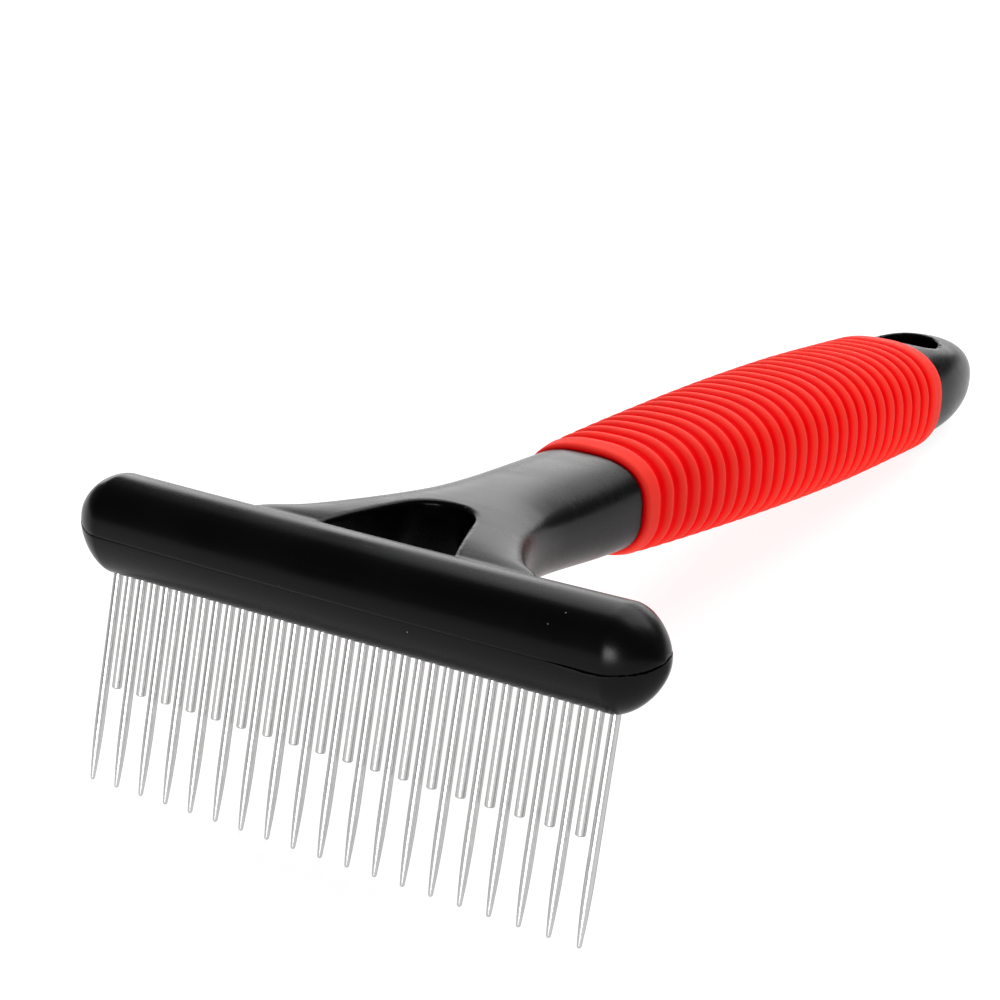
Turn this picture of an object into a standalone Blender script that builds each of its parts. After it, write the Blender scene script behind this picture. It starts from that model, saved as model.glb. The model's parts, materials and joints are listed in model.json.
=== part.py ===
"""Undercoat rake: a round head bar with long and short steel pins, on a forked handle with a ribbed grip.

The tool is drawn in its own frame, in millimetres: X along the head bar, Y back towards the handle,
Z up, with the pins pointing down and leaving the head at Z = 0. The handle has stations S, measured
along its axis from the head bar's axis, and heights U, measured square to that axis. Everything hangs
from one empty, which lays the tool down on its long pins and the end of its handle.
"""

import math

import bmesh
import bpy
from mathutils import Matrix, Vector

MM = 0.001
GAP = 0.3
OVERRUN = 5.0

# Pins: one straight row, long and short in turn
PIN_PITCH = 2.0
LONG_PINS = 19
SHORT_PINS = LONG_PINS - 1
LONG_REACH = 26.1
SHORT_REACH = 13.9
PIN_RADIUS = 0.6
PIN_HEAD_RADIUS = 0.85
PIN_HEAD_HEIGHT = 0.9
PIN_HEAD_BEVEL = 0.1
LONG_TAPER = 8.5
LONG_TIP_RADIUS = 0.25
SHORT_TIP_BEVEL = 0.2
PIN_SIDES = 10
PIN_HOLE_RADIUS = 0.75

# Head bar: an egg-shaped bar with rounded ends, parted into an upper shell and a lower cover
BAR_HALF_LENGTH = 41.7
BAR_HALF_DEPTH = 5.4
BAR_HALF_HEIGHT = 6.25
BAR_AXIS_Y = -0.5
BAR_AXIS_Z = 6.5
BAR_EGG = 0.19
BAR_END_RISE = 0.25
BAR_END_LENGTH = 5.7
BAR_END_POWER = 1.6
BAR_SIDES = 28
BAR_RINGS = 11
BAR_WALL = 2.0
PIN_SEAT_Z = 3.0
RIB_HALF_LENGTH = 37.5
RIB_HALF_WIDTH = 1.2

# Parting line seen from the bar's end: it climbs to the ridge at the front and more gently behind it
PARTING_RIDGE = (-0.2, 8.0)
PARTING_FRONT_SLOPE = math.radians(28.0)
PARTING_BACK_SLOPE = math.radians(9.0)

# Handle axis and cross-sections
HANDLE_TILT = math.radians(9.5)
HANDLE_AXIS_Z = 7.0
SECTION_POINTS = 24

# Fork and neck: pairs of (S, value), joined by a smooth curve
NECK_START = 2.5
NECK_END = 48.9
NECK_STEPS = 14
NECK_POWER = 2.7
NECK_HALF_WIDTH = [
    (2.5, 23.5),
    (6.0, 20.5),
    (10.0, 16.5),
    (16.0, 12.8),
    (22.0, 10.8),
    (30.0, 9.7),
    (48.9, 9.2),
]
NECK_TOP = [(2.5, 3.6), (6.0, 4.5), (10.0, 5.1), (18.0, 5.7), (30.0, 6.2), (48.9, 6.5)]
NECK_BOTTOM = [
    (2.5, 1.8),
    (6.4, 1.4),
    (9.0, -1.9),
    (16.0, -3.9),
    (28.0, -5.3),
    (40.0, -6.2),
    (48.9, -6.5),
]

# Fork opening: straight sides and a rounded point towards the grip
OPENING_START = 3.0
OPENING_LEAN = math.radians(22.0)
OPENING_CORNER_S = 12.3
OPENING_CORNER_RADIUS = 6.2
OPENING_CORNER_STEPS = 10

# Grip sleeve
GRIP_POWER = 2.5
GRIP_HALF_WIDTH = [
    (49.2, 9.8),
    (52.0, 10.0),
    (71.7, 11.0),
    (92.0, 11.7),
    (112.2, 11.8),
    (132.4, 11.6),
    (139.4, 11.4),
]
GRIP_HALF_HEIGHT = [
    (49.2, 7.1),
    (52.0, 7.7),
    (71.7, 8.7),
    (92.0, 9.4),
    (112.2, 9.7),
    (132.4, 9.3),
    (139.4, 9.1),
]
GRIP_WALL = 2.4
RIBS = 26
RIB_PITCH = 3.235
FIRST_CREST_S = 51.5
RIB_CREST_HALF = 0.3
GROOVE_DEPTH = 0.55
LIP_LENGTH = 0.7
TANG_STEPS = 6

# Tail with its hanging hole
TAIL_START = 139.7
TAIL_ROUND_START = 143.7
TAIL_END = 166.25
TAIL_ROUND_STEPS = 7
TAIL_POWER = 2.3
TAIL_HALF_WIDTH = 9.9
TAIL_TOP = 8.0
TAIL_BOTTOM = -8.6
TAIL_RISE = 0.7
HANGING_HOLE_S = 147.5
HANGING_HOLE_RADIUS = 5.4
HANGING_HOLE_SIDES = 32

GRIP_START = NECK_END + GAP
GRIP_END = TAIL_START - GAP


# ---------------------------------------------------------------- scene


def clear_scene():
    for obj in list(bpy.data.objects):
        bpy.data.objects.remove(obj, do_unlink=True)


def new_collection(name):
    collection = bpy.data.collections.new(name)
    bpy.context.scene.collection.children.link(collection)
    return collection


def new_material(name, colour, roughness, metallic=0.0):
    material = bpy.data.materials.new(name)
    material.use_nodes = True
    shader = material.node_tree.nodes["Principled BSDF"]
    shader.inputs["Base Color"].default_value = (*colour, 1.0)
    shader.inputs["Roughness"].default_value = roughness
    shader.inputs["Metallic"].default_value = metallic
    return material


def mesh_from(bm, name):
    """A finished mesh from millimetre coordinates, facing out and shaded smooth."""
    bmesh.ops.recalc_face_normals(bm, faces=bm.faces)
    bmesh.ops.scale(bm, vec=(MM, MM, MM), verts=bm.verts)
    mesh = bpy.data.meshes.new(name)
    bm.to_mesh(mesh)
    bm.free()
    mesh.shade_smooth()
    mesh.set_sharp_from_angle(angle=math.radians(35.0))
    return mesh


def add_part(name, mesh, material, collection, parent, x=0.0):
    obj = bpy.data.objects.new(name, mesh)
    obj.data.materials.clear()
    obj.data.materials.append(material)
    obj.parent = parent
    obj.location = (x * MM, 0.0, 0.0)
    collection.objects.link(obj)
    return obj


def add_cutter(name, mesh, collection, parent):
    obj = bpy.data.objects.new(name, mesh)
    obj.parent = parent
    obj.hide_render = True
    obj.display_type = "WIRE"
    collection.objects.link(obj)
    return obj


def combine(obj, operation, other):
    modifier = obj.modifiers.new(f"{operation.lower()} {other.name}", "BOOLEAN")
    modifier.operation = operation
    modifier.solver = "EXACT"
    modifier.object = other


# ---------------------------------------------------------------- geometry helpers


def value_at(profile, s):
    """The value at S on a smooth curve through the profile's points."""
    count = len(profile)
    k = 0
    while k < count - 2 and s > profile[k + 1][0]:
        k += 1
    (s0, v0), (s1, v1) = profile[k], profile[k + 1]
    span = s1 - s0
    slope = (v1 - v0) / span
    slope0 = slope
    slope1 = slope
    if k > 0:
        slope0 = (v1 - profile[k - 1][1]) / (s1 - profile[k - 1][0])
    if k < count - 2:
        slope1 = (profile[k + 2][1] - v0) / (profile[k + 2][0] - s0)
    t = min(max((s - s0) / span, 0.0), 1.0)
    blend = t * t * (3 - 2 * t)
    return (
        v0 * (1 - blend)
        + v1 * blend
        + span * slope0 * t * (1 - t) ** 2
        - span * slope1 * t * t * (1 - t)
    )


def steps_between(start, end, count):
    return [start + (end - start) * k / count for k in range(count + 1)]


def signed_power(value, power):
    return math.copysign(abs(value) ** power, value)


def handle_point(x, s, u):
    """A point of the tool frame from its place along, across and above the handle's axis."""
    y = s * math.cos(HANDLE_TILT) - u * math.sin(HANDLE_TILT)
    z = HANDLE_AXIS_Z + s * math.sin(HANDLE_TILT) + u * math.cos(HANDLE_TILT)
    return Vector((x, y, z))


def section(s, half_width, top, bottom, power):
    """One rounded cross-section of the handle, square to its axis."""
    middle = (top + bottom) / 2
    half_height = (top - bottom) / 2
    points = []
    for k in range(SECTION_POINTS):
        angle = 2 * math.pi * k / SECTION_POINTS
        x = half_width * signed_power(math.cos(angle), 2 / power)
        u = middle + half_height * signed_power(math.sin(angle), 2 / power)
        points.append(handle_point(x, s, u))
    return points


def loft(sections):
    """A closed solid through the sections."""
    bm = bmesh.new()
    rings = [[bm.verts.new(point) for point in points] for points in sections]
    for ring, following in zip(rings, rings[1:]):
        for k in range(SECTION_POINTS):
            after = (k + 1) % SECTION_POINTS
            bm.faces.new((ring[k], ring[after], following[after], following[k]))
    bm.faces.new(rings[0])
    bm.faces.new(rings[-1])
    return bm


def prism(outline, bottom, top):
    """A solid from an outline of (X, S) points, running from one height U to another."""
    bm = bmesh.new()
    face = bm.faces.new([bm.verts.new(handle_point(x, s, bottom)) for x, s in outline])
    extruded = bmesh.ops.extrude_face_region(bm, geom=[face])
    moved = [item for item in extruded["geom"] if isinstance(item, bmesh.types.BMVert)]
    bmesh.ops.translate(bm, verts=moved, vec=handle_point(0, 0, top) - handle_point(0, 0, bottom))
    return bm


def box(low, high):
    bm = bmesh.new()
    bmesh.ops.create_cube(bm, size=1.0)
    size = [b - a for a, b in zip(low, high)]
    centre = [(a + b) / 2 for a, b in zip(low, high)]
    bmesh.ops.scale(bm, vec=size, verts=bm.verts)
    bmesh.ops.translate(bm, vec=centre, verts=bm.verts)
    return bm


def bar_form(inset):
    """The head bar's egg-shaped form with rounded ends, made smaller by the inset all round."""
    bm = bmesh.new()
    bmesh.ops.create_uvsphere(bm, u_segments=BAR_SIDES, v_segments=BAR_RINGS, radius=1.0)
    bmesh.ops.rotate(bm, verts=bm.verts, matrix=Matrix.Rotation(math.pi / 2, 3, "Y"))
    end_start = BAR_HALF_LENGTH - BAR_END_LENGTH
    for vert in bm.verts:
        along = abs(vert.co.x)
        around = math.hypot(vert.co.y, vert.co.z)
        swell = around ** (2 / BAR_END_POWER - 1) if along < 1.0 else 0.0
        egg = 1 + BAR_EGG * vert.co.z / max(around, 0.001)
        reach = end_start + (BAR_END_LENGTH - inset) * along ** (2 / BAR_END_POWER)
        rise = BAR_END_RISE * (reach / BAR_HALF_LENGTH) ** 2
        vert.co.x = math.copysign(reach, vert.co.x)
        vert.co.y = BAR_AXIS_Y + vert.co.y * (BAR_HALF_DEPTH - inset) * swell * egg
        vert.co.z = BAR_AXIS_Z + vert.co.z * (BAR_HALF_HEIGHT - inset) * swell + rise
    return bm


def cut_by_plane(bm, point, normal):
    """Keeps the side that the normal points away from, and closes the cut."""
    geometry = [*bm.verts, *bm.edges, *bm.faces]
    cut = bmesh.ops.bisect_plane(bm, geom=geometry, plane_co=point, plane_no=normal, clear_outer=True)
    edges = [item for item in cut["geom_cut"] if isinstance(item, bmesh.types.BMEdge)]
    bmesh.ops.contextual_create(bm, geom=edges)
    return bm


# ---------------------------------------------------------------- head


def cut_at_parting(bm, side):
    """Keeps what lies below the parting line, with half a gap added (+1) or taken off (-1)."""
    y, z = PARTING_RIDGE
    for slope in (PARTING_FRONT_SLOPE, PARTING_BACK_SLOPE):
        normal = Vector((0.0, -math.sin(slope), math.cos(slope)))
        cut_by_plane(bm, Vector((0.0, y, z)) + normal * side * GAP / 2, normal)
    return bm


def lower_cover():
    return cut_at_parting(bar_form(0.0), -1)


def below_parting():
    """A block that holds everything under the upper shell."""
    reach = BAR_HALF_LENGTH + OVERRUN
    return cut_at_parting(box((-reach, -reach, -OVERRUN), (reach, reach, 2 * BAR_HALF_HEIGHT)), +1)


def cover_trough():
    """The room inside the lower cover, with a flat floor that the pin heads sit on."""
    return cut_by_plane(bar_form(BAR_WALL), Vector((0.0, 0.0, PIN_SEAT_Z)), Vector((0.0, 0.0, -1.0)))


def keeper_rib():
    """The upper shell's lengthwise rib, which ends just above the pin heads and keeps them down."""
    low = (-RIB_HALF_LENGTH, -RIB_HALF_WIDTH, PIN_SEAT_Z + PIN_HEAD_HEIGHT + 2 * GAP)
    high = (RIB_HALF_LENGTH, RIB_HALF_WIDTH, BAR_AXIS_Z + BAR_HALF_HEIGHT - BAR_WALL / 2)
    return box(low, high)


def pin_places():
    """X of each long pin, then of each short pin."""
    first = -PIN_PITCH * (LONG_PINS - 1)
    long_places = [first + 2 * PIN_PITCH * k for k in range(LONG_PINS)]
    short_places = [first + PIN_PITCH + 2 * PIN_PITCH * k for k in range(SHORT_PINS)]
    return long_places, short_places


def pin_holes():
    bm = bmesh.new()
    long_places, short_places = pin_places()
    for x in (*long_places, *short_places):
        middle = Matrix.Translation((x, 0.0, PIN_SEAT_Z / 2))
        bmesh.ops.create_cone(
            bm,
            cap_ends=True,
            segments=PIN_SIDES,
            radius1=PIN_HOLE_RADIUS,
            radius2=PIN_HOLE_RADIUS,
            depth=PIN_SEAT_Z + OVERRUN,
            matrix=middle,
        )
    return bm


def add_lower_cover(material, parts, cutters, parent):
    cover = add_part("head_lower_cover", mesh_from(lower_cover(), "lower_cover"), material, parts, parent)
    trough = add_cutter("cover_trough", mesh_from(cover_trough(), "cover_trough"), cutters, parent)
    holes = add_cutter("pin_holes", mesh_from(pin_holes(), "pin_holes"), cutters, parent)
    combine(cover, "DIFFERENCE", trough)
    combine(cover, "DIFFERENCE", holes)


# ---------------------------------------------------------------- handle


def neck_sections():
    sections = []
    for s in steps_between(NECK_START, NECK_END, NECK_STEPS):
        size = (value_at(NECK_HALF_WIDTH, s), value_at(NECK_TOP, s), value_at(NECK_BOTTOM, s))
        sections.append(section(s, *size, NECK_POWER))
    return sections


def grip_section(s, inset):
    half_width = value_at(GRIP_HALF_WIDTH, s) - inset
    half_height = value_at(GRIP_HALF_HEIGHT, s) - inset
    return section(s, half_width, half_height, -half_height, GRIP_POWER)


def tang_sections():
    return [grip_section(s, GRIP_WALL) for s in steps_between(NECK_END, TAIL_START, TANG_STEPS)]


def tail_section(s, scale):
    """One cross-section of the tail, whose middle rises a little towards its end."""
    middle = (TAIL_TOP + TAIL_BOTTOM) / 2 + TAIL_RISE * (s - TAIL_START) / (TAIL_END - TAIL_START)
    half_height = (TAIL_TOP - TAIL_BOTTOM) / 2 * scale
    return section(s, TAIL_HALF_WIDTH * scale, middle + half_height, middle - half_height, TAIL_POWER)


def tail_sections():
    """The tail runs straight on from the grip and then closes in a quarter ellipse."""
    sections = [tail_section(TAIL_START, 1.0)]
    for k in range(TAIL_ROUND_STEPS + 1):
        angle = math.pi / 2 * k / (TAIL_ROUND_STEPS + 0.4)
        s = TAIL_ROUND_START + (TAIL_END - TAIL_ROUND_START) * math.sin(angle)
        sections.append(tail_section(s, math.cos(angle)))
    return sections


def opening_outline():
    """The fork opening seen from above: straight sides and a rounded point, as (X, S)."""
    run = (OPENING_CORNER_S - OPENING_START) * math.sin(OPENING_LEAN)
    half_width = (OPENING_CORNER_RADIUS + run) / math.cos(OPENING_LEAN)
    outline = [(-half_width, OPENING_START), (half_width, OPENING_START)]
    for angle in steps_between(OPENING_LEAN, math.pi - OPENING_LEAN, OPENING_CORNER_STEPS):
        x = OPENING_CORNER_RADIUS * math.cos(angle)
        s = OPENING_CORNER_S + OPENING_CORNER_RADIUS * math.sin(angle)
        outline.append((x, s))
    return outline


def hanging_hole_outline():
    outline = []
    for k in range(HANGING_HOLE_SIDES):
        angle = 2 * math.pi * (k + 0.5) / HANGING_HOLE_SIDES
        x = HANGING_HOLE_RADIUS * math.cos(angle)
        s = HANGING_HOLE_S + HANGING_HOLE_RADIUS * math.sin(angle)
        outline.append((x, s))
    return outline


def add_handle_frame(material, parts, cutters, parent):
    """One moulding: upper head shell, fork, neck, tang and tail."""
    body = loft([*neck_sections(), *tang_sections(), *tail_sections()])
    frame = add_part("handle_frame", mesh_from(body, "handle_frame"), material, parts, parent)
    reach = TAIL_HALF_WIDTH + OVERRUN
    opening_form = mesh_from(prism(opening_outline(), -reach, reach), "fork_opening")
    hole_form = mesh_from(prism(hanging_hole_outline(), -reach, reach), "hanging_hole")
    opening = add_cutter("fork_opening", opening_form, cutters, parent)
    hole = add_cutter("hanging_hole", hole_form, cutters, parent)
    shell = add_cutter("head_shell", mesh_from(bar_form(0.0), "head_shell"), cutters, parent)
    below = add_cutter("below_parting", mesh_from(below_parting(), "below_parting"), cutters, parent)
    rib = add_cutter("keeper_rib", mesh_from(keeper_rib(), "keeper_rib"), cutters, parent)
    cavity = add_cutter("head_cavity", mesh_from(bar_form(BAR_WALL), "head_cavity"), cutters, parent)
    combine(shell, "DIFFERENCE", below)
    combine(cavity, "DIFFERENCE", rib)
    combine(frame, "DIFFERENCE", opening)
    combine(frame, "UNION", shell)
    combine(frame, "DIFFERENCE", cavity)
    combine(frame, "UNION", rib)
    combine(frame, "DIFFERENCE", hole)


# ---------------------------------------------------------------- grip


def rib_stations():
    """(S, depth below the crest) of each ring of the ribbed surface."""
    stations = [(GRIP_START, GROOVE_DEPTH)]
    for k in range(RIBS):
        crest = FIRST_CREST_S + RIB_PITCH * k
        stations.append((crest - RIB_CREST_HALF * RIB_PITCH, 0.0))
        stations.append((crest + RIB_CREST_HALF * RIB_PITCH, 0.0))
        if k < RIBS - 1:
            stations.append((crest + RIB_PITCH / 2, GROOVE_DEPTH))
    stations.append((GRIP_END - LIP_LENGTH, 0.0))
    stations.append((GRIP_END, GROOVE_DEPTH))
    return stations


def add_grip_sleeve(material, parts, cutters, parent):
    body = loft([grip_section(s, depth) for s, depth in rib_stations()])
    sleeve = add_part("grip_sleeve", mesh_from(body, "grip_sleeve"), material, parts, parent)
    ends = steps_between(GRIP_START - OVERRUN, GRIP_END + OVERRUN, TANG_STEPS)
    bore = loft([grip_section(s, GRIP_WALL - GAP) for s in ends])
    bore_cutter = add_cutter("sleeve_bore", mesh_from(bore, "sleeve_bore"), cutters, parent)
    combine(sleeve, "DIFFERENCE", bore_cutter)


# ---------------------------------------------------------------- pins


def long_tip(reach):
    """The long pin's taper, drawn in to a blunt point."""
    points = [(PIN_RADIUS, -reach + LONG_TAPER)]
    for part in (0.45, 0.8):
        radius = PIN_RADIUS + (LONG_TIP_RADIUS - PIN_RADIUS) * part**1.3
        points.append((radius, -reach + LONG_TAPER * (1 - part)))
    points.append((LONG_TIP_RADIUS, -reach + LONG_TIP_RADIUS))
    return points


def short_tip(reach):
    """The short pin's plain end with a small bevel."""
    return [(PIN_RADIUS, -reach + SHORT_TIP_BEVEL), (PIN_RADIUS - SHORT_TIP_BEVEL, -reach)]


def pin_mesh(name, reach, tip):
    """A headed pin's outline, from its flat head down its outer side to its tip."""
    seat = PIN_SEAT_Z + GAP
    crown = seat + PIN_HEAD_HEIGHT
    outline = [
        (0.0, crown),
        (PIN_HEAD_RADIUS - PIN_HEAD_BEVEL, crown),
        (PIN_HEAD_RADIUS, crown - PIN_HEAD_BEVEL),
        (PIN_HEAD_RADIUS, seat),
        (PIN_RADIUS, seat),
        *tip(reach),
        (0.0, -reach),
    ]
    points = [(radius * MM, 0.0, z * MM) for radius, z in outline]
    edges = [(k, k + 1) for k in range(len(points) - 1)]
    mesh = bpy.data.meshes.new(name)
    mesh.from_pydata(points, edges, [])
    return mesh


def turn(obj):
    modifier = obj.modifiers.new("turned", "SCREW")
    modifier.axis = "Z"
    modifier.steps = PIN_SIDES
    modifier.render_steps = PIN_SIDES
    modifier.use_merge_vertices = True
    modifier.merge_threshold = 0.00001
    modifier.use_smooth_shade = True


def add_pins(material, parts, parent):
    long_places, short_places = pin_places()
    kinds = (
        ("long_pin", LONG_REACH, long_tip, long_places),
        ("short_pin", SHORT_REACH, short_tip, short_places),
    )
    for kind, reach, tip, places in kinds:
        mesh = pin_mesh(kind, reach, tip)
        for number, x in enumerate(places, start=1):
            turn(add_part(f"{kind}_{number:02d}", mesh, material, parts, parent, x))


# ---------------------------------------------------------------- whole tool


def points_of(parts):
    """Every point of the finished parts, in metres in the tool's own frame."""
    bpy.context.view_layer.update()
    graph = bpy.context.evaluated_depsgraph_get()
    points = []
    for obj in parts.objects:
        if obj.type == "MESH":
            evaluated = obj.evaluated_get(graph)
            points += [evaluated.matrix_world @ vert.co for vert in evaluated.to_mesh().vertices]
            evaluated.to_mesh_clear()
    return points


def lay_down(parent, parts):
    """Tips the tool about its long pins' points until the handle touches the ground, and centres it."""
    points = points_of(parts)
    tip_z = -LONG_REACH * MM
    tilt = min(math.atan2(point.z - tip_z, point.y) for point in points if point.y > NECK_END * MM)
    turned = Matrix.Rotation(-tilt, 4, "X")
    back_to_front = [(turned @ point).y for point in points]
    tip = turned @ Vector((0.0, 0.0, tip_z))
    parent.rotation_euler = (-tilt, 0.0, 0.0)
    parent.location = (0.0, -(min(back_to_front) + max(back_to_front)) / 2, -tip.z)


def main():
    clear_scene()
    parts = new_collection("undercoat_rake")
    cutters = new_collection("cutters")
    cutters.hide_render = True
    tool = bpy.data.objects.new("tool_frame", None)
    parts.objects.link(tool)
    black = new_material("black_moulding", (0.012, 0.012, 0.013), 0.35)
    red = new_material("red_rubber", (0.72, 0.012, 0.012), 0.6)
    steel = new_material("stainless_steel", (0.72, 0.72, 0.71), 0.28, 1.0)
    add_handle_frame(black, parts, cutters, tool)
    add_grip_sleeve(red, parts, cutters, tool)
    add_lower_cover(black, parts, cutters, tool)
    add_pins(steel, parts, tool)
    lay_down(tool, parts)


main()
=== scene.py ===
"""Looks of the undercoat rake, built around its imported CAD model.

Shapes are made in the tool's own frame, in millimetres: X along the head bar, Y back towards the
handle, Z up, with the pins leaving the head at Z = 0. The handle has stations S along its axis and
heights U square to it. The tool's frame is found from the pins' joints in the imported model.
"""

import json
import math

import bmesh
import bpy
import numpy as np
from mathutils import Euler, Matrix, Vector


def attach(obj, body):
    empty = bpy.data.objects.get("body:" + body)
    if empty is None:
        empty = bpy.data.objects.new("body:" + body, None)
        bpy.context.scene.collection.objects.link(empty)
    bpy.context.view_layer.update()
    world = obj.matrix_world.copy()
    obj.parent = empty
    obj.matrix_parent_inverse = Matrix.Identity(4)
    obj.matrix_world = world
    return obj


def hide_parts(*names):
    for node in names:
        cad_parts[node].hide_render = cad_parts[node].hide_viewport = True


MM = 0.001

# Under these sizes a point counts as on an axis, and two points count as one.
TINY = 0.001
NEAR_AXIS = 0.01
WELD = 0.00001

# Pins: how far they come out of the head, where their hidden upper ends are, and the form of their tips
PIN_PITCH = 2.0
LONG_PINS = 19
LONG_REACH = 26.1
SHORT_REACH = 13.9
PIN_RADIUS = 0.6
PIN_TOP_Z = 3.0
PIN_SIDES = 28
LONG_TAPER = 8.5
LONG_TIP_RADIUS = 0.28
SHORT_TIP_BEVEL = 0.22
TAPER_STEPS = 10
TIP_STEPS = 5
BEVEL_STEPS = 4
PIN_SHARP_EDGE = math.radians(50.0)

# Head bar: egg-shaped in section, round at its ends, which lie a little higher than its middle. The
# parting line falls to the front from its bend and rises to the back, and under it the black moulding
# stands back by a step to leave room for the cover.
BAR_HALF_LENGTH = 41.7
BAR_HALF_DEPTH = 5.4
BAR_HALF_HEIGHT = 6.25
BAR_AXIS_Y = -0.5
BAR_AXIS_Z = 6.5
BAR_EGG = 0.19
BAR_END_RISE = 0.25
BAR_END_LENGTH = 5.7
BAR_END_POWER = 1.6
BAR_FACET_LENGTH = 0.5
PARTING_BEND = (-0.2, 8.0)
PARTING_FRONT_SLOPE = math.radians(28.0)
PARTING_BACK_SLOPE = math.radians(9.0)
SHELL_STEP = 0.6

# Lower cover of the head, which stands a little proud of the shell above it
COVER_SIDES = 120
COVER_RINGS = 150
COVER_INSIDE_SIDES = 48
COVER_INSIDE_RINGS = 60
COVER_WALL = 1.6
COVER_PROUD = 0.07
COVER_SHARP_EDGE = math.radians(40.0)
HOLE_RADIUS = 0.92
HOLE_SIDES = 24
HOLE_START = -1.0
HOLE_END = 5.0

# The cover's upper edge: rounded and tucked in, with a thin flash that stands out over one stretch,
# small chips, and a gap that opens at the right end. Starts, ends and runs are measured along X.
EDGE_ROUND = 0.22
EDGE_MARGIN = 0.001
EDGE_TUCK = 0.03
END_TUCK = 0.004
END_GAP = 0.24
END_GAP_START = 38.2
END_GAP_RUN = 2.2
CHIP_DEPTH = 0.10
CHIP_START = 30.0
CHIP_RUN = 4.0
CHIP_RATES = (2.9, 7.3)
CHIP_SHIFT = 1.0
FLASH_WIDTH = 0.10
FLASH_START = 29.0
FLASH_START_RUN = 3.0
FLASH_END = 39.0
FLASH_END_RUN = 2.0

# Handle: the lists give (station, value), and a power says how square a section is
HANDLE_TILT = math.radians(9.5)
HANDLE_AXIS_Z = 7.0
NECK_START = 2.5
NECK_END = 48.9
SLEEVE_SEAT_RIM = 0.3
NECK_POWER = [(2.5, 5.5), (13.0, 4.6), (26.0, 2.7), (48.9, 2.7)]
NECK_HALF_WIDTH = [
    (2.5, 23.5), (6.0, 20.5), (10.0, 16.5), (16.0, 12.8), (22.0, 10.8), (30.0, 9.7), (48.9, 9.2),
]
NECK_TOP = [(2.5, 3.6), (6.0, 4.5), (10.0, 5.1), (18.0, 5.7), (30.0, 6.2), (48.9, 6.5)]
NECK_BOTTOM = [
    (2.5, 1.8), (6.4, 1.4), (9.0, -1.9), (16.0, -3.9), (28.0, -5.3), (40.0, -6.2), (48.9, -6.5),
]
OPENING_LEAN = math.radians(22.0)
OPENING_CORNER_S = 12.3
OPENING_CORNER_RADIUS = 6.2
OPENING_RIM = 0.4
NECK_FILLET = 1.4
TANG_HALF_WIDTH = 7.2
TANG_HALF_HEIGHT = 4.6
TANG_OVERLAP = 4.0
TAIL_START = 139.7
TAIL_ROUND_START = 143.7
TAIL_END = 166.25
TAIL_POWER = 2.3
TAIL_HALF_WIDTH = 9.9
TAIL_TOP = 8.0
TAIL_BOTTOM = -8.6
TAIL_RISE = 0.7
HANGING_HOLE_S = 147.5
HANGING_HOLE_RADIUS = 5.4
HANGING_HOLE_RIM = 0.45
MOULDING_SHARP_EDGE = math.radians(50.0)

# The grid on which the moulding's surface is found, in handle coordinates
CELL = 0.42
GRID_LOW = (-43.0, -8.3, -10.2)
GRID_HIGH = (43.0, 167.45, 10.2)
GRID_SLAB = 24
PROFILE_STEP = 0.25
RATIO_STEP = 0.01
LEAST_RATIO_SLOPE = 0.04
SLOPE_STEP = 0.02
LEAST_SLOPE_SQUARE = 0.05
SETTLE_ROUNDS = 4
SETTLE_SHARE = 0.6

# Grip sleeve: even ribs between a thin front lip and a longer rear one
GRIP_START = 49.2
GRIP_END = 139.4
GRIP_POWER = 2.5
GRIP_HALF_WIDTH = [
    (49.2, 9.8), (52.0, 10.0), (71.7, 11.0), (92.0, 11.7), (112.2, 11.8), (132.4, 11.6), (139.4, 11.4),
]
GRIP_HALF_HEIGHT = [
    (49.2, 7.1), (52.0, 7.7), (71.7, 8.7), (92.0, 9.4), (112.2, 9.7), (132.4, 9.3), (139.4, 9.1),
]
GRIP_WALL = 2.0
GRIP_SIDES = 128
RIBS = 26
RIB_PITCH = 3.235
FIRST_CREST_S = 51.5
RIB_STEPS = 14
GROOVE_DEPTH = 0.8
GROOVE_SHARE = 0.9
FRONT_LIP = 0.6
REAR_LIP = 0.9
REAR_LIP_LENGTH = 2.4
LIP_STEPS = 7
BORE_STEPS = 8
GRIP_SHARP_EDGE = math.radians(60.0)

# Colours, as linear red, green and blue. A pair is the darker and the lighter tint of one material.
BLACK = ((0.0006, 0.0006, 0.0007), (0.0016, 0.0016, 0.0018))
BLACK_DUST = (0.22, 0.22, 0.22)
GROOVE_RED = ((0.95, 0.0003, 0.0024), (1.0, 0.0006, 0.0030))
# Crest red: paler than the groove red, a painted sheen on the rib crests
CREST_RED_PAINTED_SHEEN = ((0.86, 0.032, 0.021), (0.94, 0.046, 0.030))
RED_DUST = (0.70, 0.12, 0.10)
STEEL = ((0.50, 0.50, 0.495), (0.57, 0.57, 0.565))
STEEL_EDGE = (0.16, 0.16, 0.17, 1.0)
WHITE = (1.0, 1.0, 1.0, 1.0)
FLOOR_GREY = (0.25, 0.25, 0.25, 1.0)

# Gloss: how strongly each surface reflects, and the range of its roughness
BLACK_SPECULAR = 0.11
BLACK_ROUGHNESS = (0.22, 0.30)
BLACK_WEAR = (0.0, 0.06)
RED_SPECULAR = 0.05
RED_ROUGHNESS = (0.50, 0.64)
STEEL_ROUGHNESS = (0.25, 0.32)

# Dust specks: the share of a speck that is full, and how thinly specks are spread
SPECK_CORE = 0.6
SPECK_SPREAD = 2.7
SPECK_CHOICE = (0.60, 0.66)

# Studio, in metres, watts and degrees
FLOOR_HALF_SIZE = 6.0
FLOOR_GLOW = 0.88
SKY_STRENGTH = 0.13
CAMERA_PLACE = (0.157321, -0.273185, 0.148553)
CAMERA_TURN = (66.840, 1.849, 34.052)
CAMERA_SENSOR = 36.0
CAMERA_LENS = 86.4
CAMERA_SHIFT = (-0.0024718, -0.0010442)
CAMERA_CLIP = 0.01

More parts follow.
